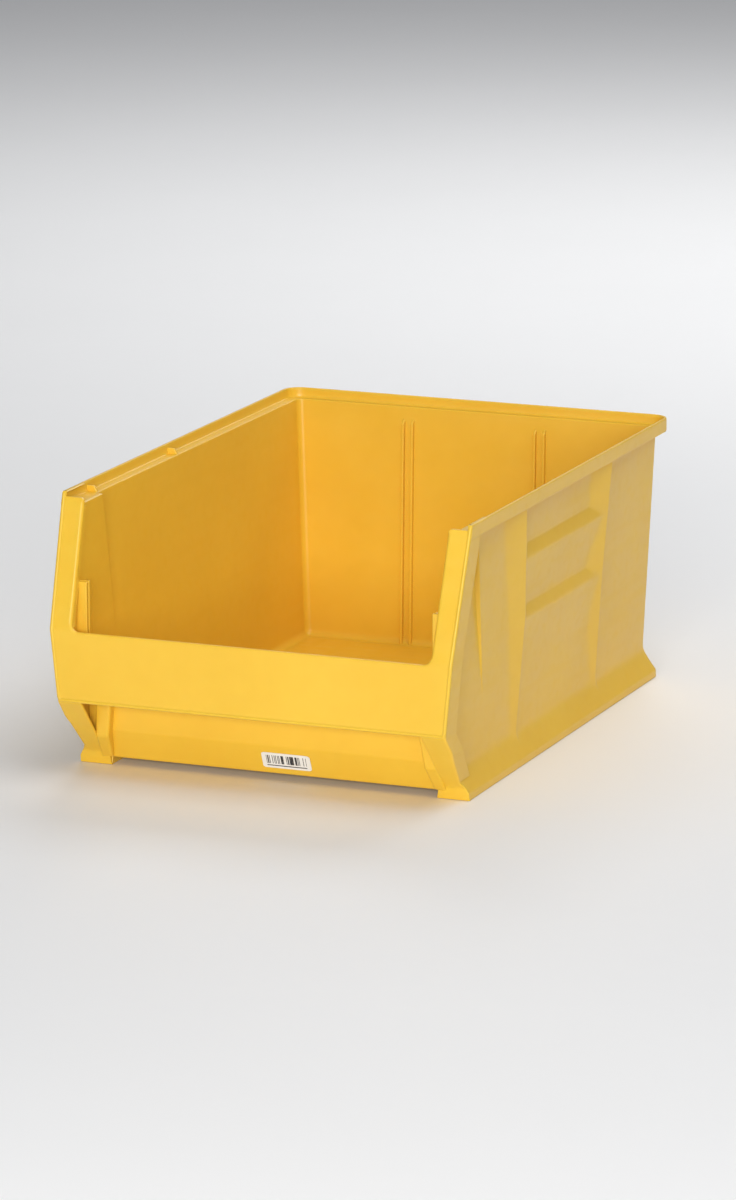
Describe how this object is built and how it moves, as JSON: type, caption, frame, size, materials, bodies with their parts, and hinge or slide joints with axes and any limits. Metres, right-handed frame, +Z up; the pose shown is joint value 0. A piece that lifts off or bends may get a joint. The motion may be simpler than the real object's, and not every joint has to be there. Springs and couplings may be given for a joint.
{
  "type": "hopper-front stacking storage bin",
  "caption": "Open-top plastic storage bin with a low hopper front, sloping front posts, stacking rim and flared base skirt, and a small barcode label on the front.",
  "frame": {"origin": "centre of the footprint, on the surface that the feet stand on", "axes": "+Z up, -Y towards the open hopper front, +X to the right seen from the front"},
  "size_m": [0.419, 0.606, 0.27],
  "materials": {
    "yellow_polypropylene": "semi-gloss moulded polypropylene with a fine grain",
    "label_paper": null
  },
  "bodies": {
    "root": {"bin_body": "yellow_polypropylene", "barcode_label": "label_paper"}
  },
  "joints": []
}
